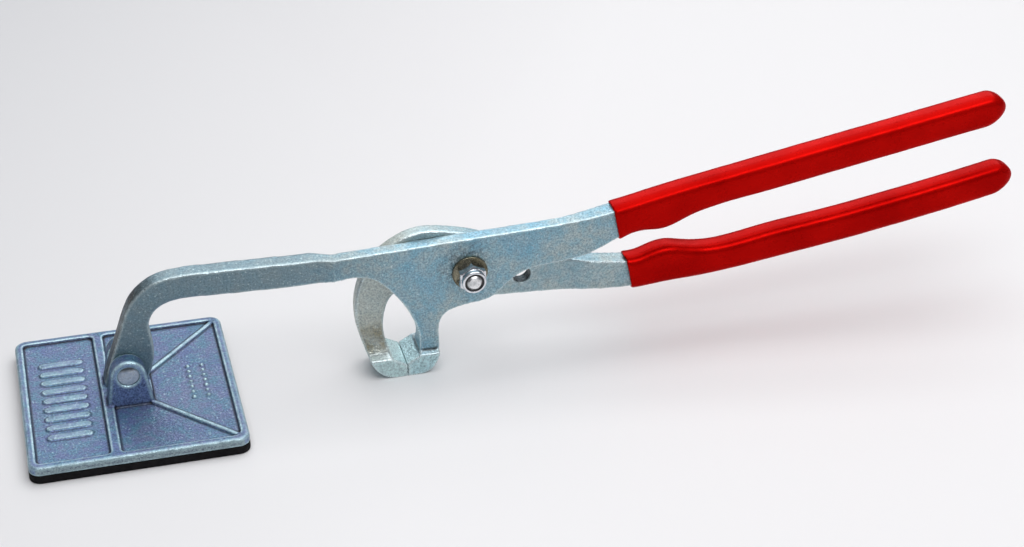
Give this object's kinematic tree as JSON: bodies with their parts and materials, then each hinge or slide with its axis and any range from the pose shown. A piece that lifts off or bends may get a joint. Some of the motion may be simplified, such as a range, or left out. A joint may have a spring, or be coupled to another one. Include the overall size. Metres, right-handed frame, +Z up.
{
  "type": "stud lever pliers",
  "caption": "Long-handled pincer pliers with serrated nipper jaws and a bent lever arm that ends in a hinged, rubber-padded foot used as a fulcrum.",
  "frame": {"origin": "centre of the foot pad's bottom face, straight below the foot hinge", "axes": "+X from the foot to the handles, +Y from the front lever (nut side) to the rear lever (bolt-head side), +Z up"},
  "size_m": [0.4415, 0.0948, 0.0993],
  "materials": {
    "lever_steel": "zinc plated and blue passivated forging, satin",
    "foot_casting": "blue passivated rough casting",
    "grip_vinyl": "dipped red vinyl, semi-gloss",
    "pad_rubber": "black rubber sheet, matte",
    "nut_chrome": "bright plated",
    "bolt_steel": "bright zinc plated",
    "washer_steel": "yellowish zinc plated",
    "nylon": "black nylon",
    "pin_steel": "zinc plated, satin"
  },
  "bodies": {
    "front": {"front_lever": "lever_steel", "front_grip": "grip_vinyl", "pivot_bolt": "bolt_steel", "pivot_head_washer": "washer_steel", "pivot_nut_washer": "washer_steel", "lock_nut": "nut_chrome", "lock_nut_insert": "nylon"},
    "rear": {"rear_lever": "lever_steel", "rear_grip": "grip_vinyl"},
    "foot": {"foot_plate": "foot_casting", "foot_pad": "pad_rubber", "foot_hinge_pin": "pin_steel"}
  },
  "joints": [
    {"name": "jaw_pivot", "type": "hinge", "parent": "front", "child": "rear", "pos_m": [0.1456, 0, 0.0465], "axis": [0, 1, 0], "range_deg": [0, 28]},
    {"name": "foot_hinge", "type": "hinge", "parent": "front", "child": "foot", "pos_m": [0, 0, 0.0208], "axis": [0, 1, 0], "range_deg": [-50, 70]}
  ]
}
